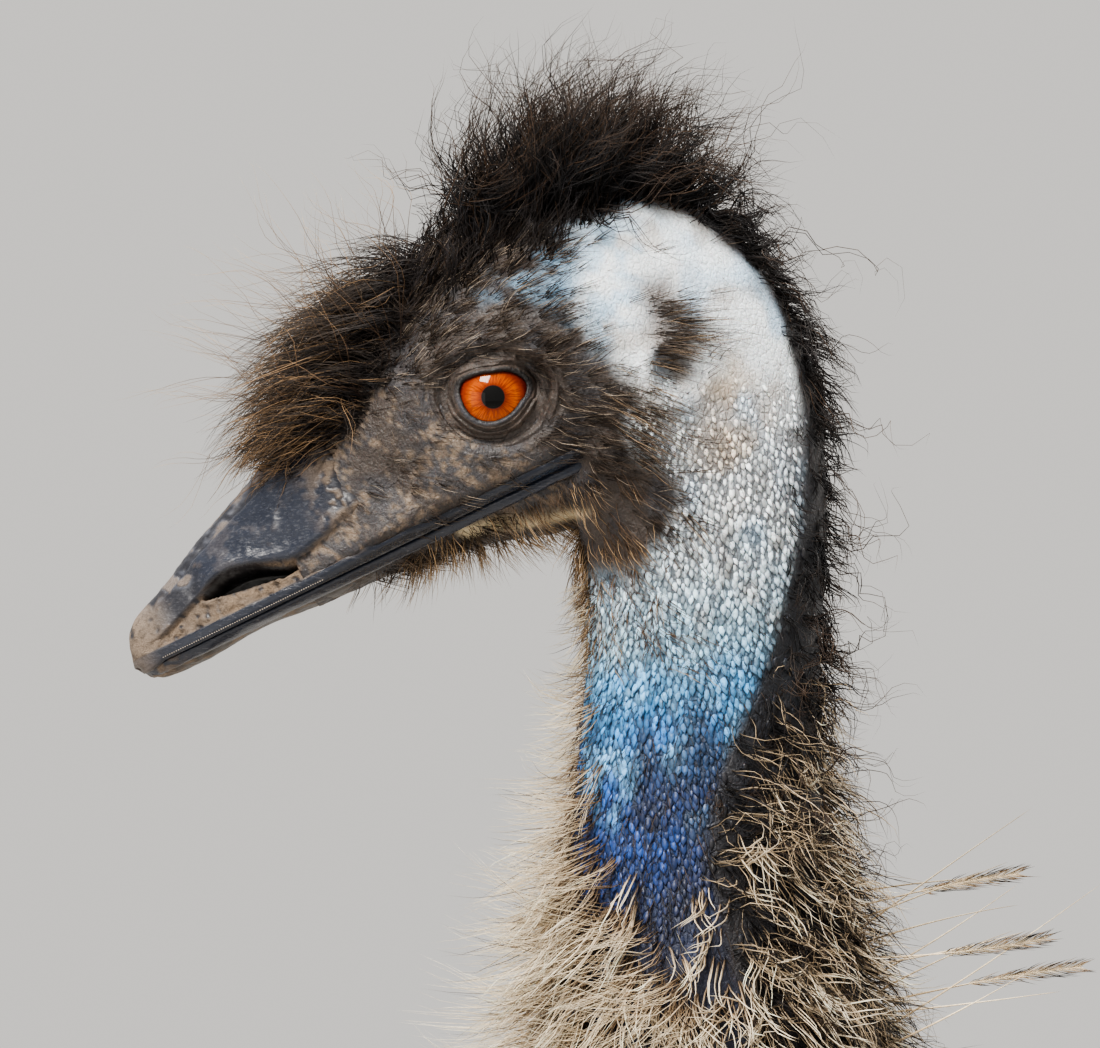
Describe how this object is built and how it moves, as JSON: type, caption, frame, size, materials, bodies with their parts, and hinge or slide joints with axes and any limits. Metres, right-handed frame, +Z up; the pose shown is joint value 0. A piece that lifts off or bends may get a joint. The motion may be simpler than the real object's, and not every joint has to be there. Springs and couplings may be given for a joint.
{
  "type": "emu",
  "caption": "Life-size standing emu, neck raised and bill a little dipped, with a shaggy hair-like coat, bare blue neck skin, scaled legs and clawed toes.",
  "frame": {"origin": "centre of the model's footprint box, on the floor that the soles rest on", "axes": "+Z up, the bill towards -X, the bird's left side towards -Y"},
  "size_m": [0.9952, 0.4338, 1.6283],
  "materials": {
    "bill_horn": "blue-black horn, shiny on the ridge, dull grey at the cutting edge",
    "head_skin": "dark skin under sparse black hair-like feathers, with a bare pale blue patch behind the eye",
    "neck_skin": "bare pebbly skin, pale blue above and deep blue below, with a black mane down the nape",
    "plumage": "loose brown double feathers, pale at the shaft and black at the tips",
    "dark_plumage": "fine dark brown hair-like feathers",
    "eye": "wet, clear cornea over an orange iris and a black pupil",
    "leg_scales": "grey-brown horny scales, wide plates down the front",
    "claw_horn": "worn black horn"
  },
  "bodies": {
    "root": {"bill_upper": "bill_horn", "bill_lower": "bill_horn", "head": "head_skin", "neck_upper": "neck_skin", "neck_lower": "plumage", "torso": "plumage", "tail": "plumage", "eye_left": "eye", "ear_left": "dark_plumage", "wing_left": "plumage", "thigh_left": "plumage", "shank_left": "leg_scales", "foot_left": "leg_scales", "claw_left_inner": "claw_horn", "claw_left_middle": "claw_horn", "claw_left_outer": "claw_horn", "eye_right": "eye", "ear_right": "dark_plumage", "wing_right": "plumage", "thigh_right": "plumage", "shank_right": "leg_scales", "foot_right": "leg_scales", "claw_right_inner": "claw_horn", "claw_right_middle": "claw_horn", "claw_right_outer": "claw_horn"}
  },
  "joints": []
}
